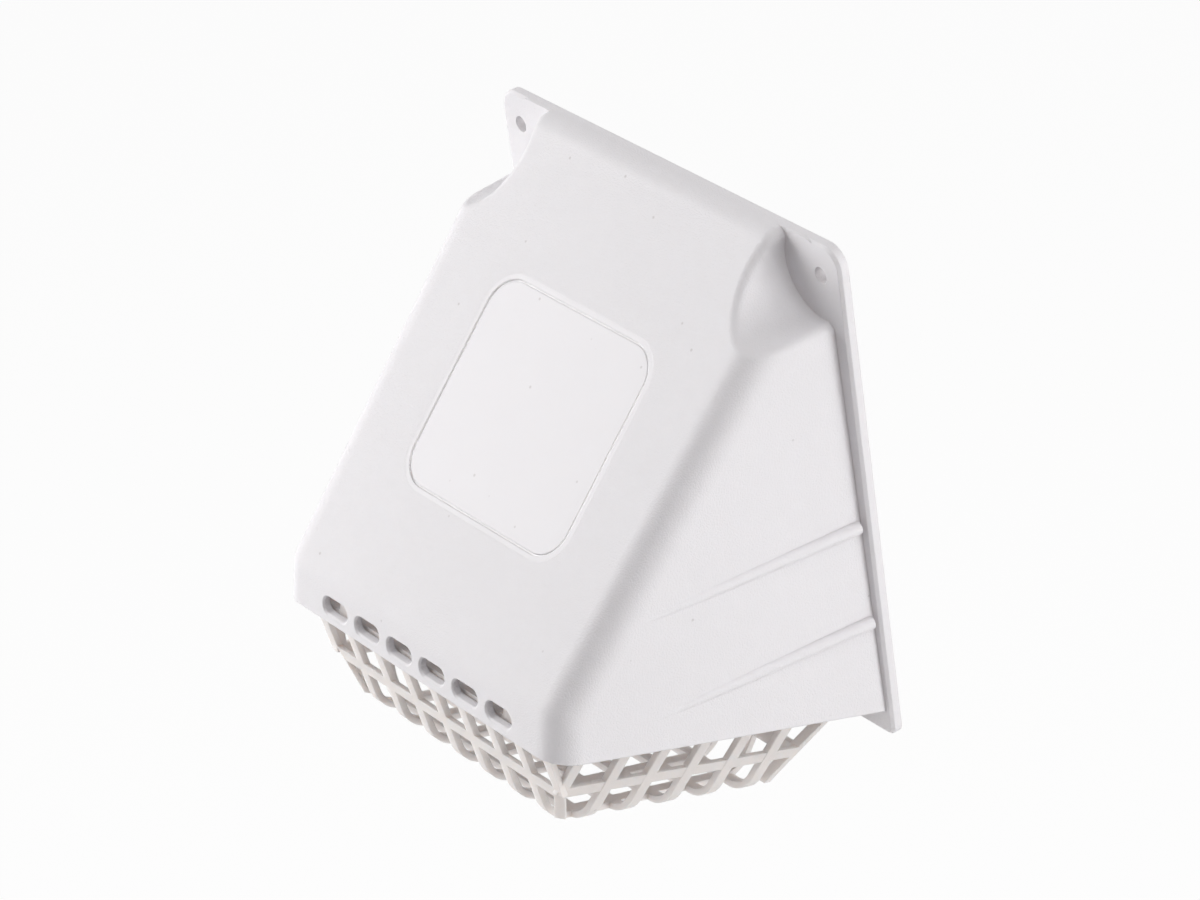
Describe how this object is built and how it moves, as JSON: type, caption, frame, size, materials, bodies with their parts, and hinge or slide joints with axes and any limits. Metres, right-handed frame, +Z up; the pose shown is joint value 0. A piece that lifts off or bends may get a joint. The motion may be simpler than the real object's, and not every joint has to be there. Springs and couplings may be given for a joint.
{
  "type": "dryer vent cap",
  "caption": "Wall hood for a dryer duct: sloping drafted hood on a square flange, gravity damper flap over the duct opening and a lift-out grid bird guard in the mouth.",
  "frame": {"origin": "centre of the duct opening on the wall plane, which is the flange's back face", "axes": "+Z up, -Y out of the wall towards the front of the hood, +X to the right seen along +Y"},
  "size_m": [0.152, 0.1188, 0.1665],
  "materials": {
    "hood": "fine-grained off-white moulding",
    "flap": "smooth off-white moulding",
    "guard": "smooth off-white moulding"
  },
  "bodies": {
    "cap": {"hood": "hood"},
    "damper": {"damper_flap": "flap"},
    "guard": {"bird_guard": "guard"}
  },
  "joints": [
    {"name": "damper_hinge", "type": "hinge", "parent": "cap", "child": "damper", "pos_m": [0, -0.0062, 0.0585], "axis": [-1, 0, 0], "range_deg": [0, 45]},
    {"name": "guard_slide", "type": "slide", "parent": "cap", "child": "guard", "axis": [0, -0.1977, -0.9803], "range_m": [0, 0.04]}
  ]
}
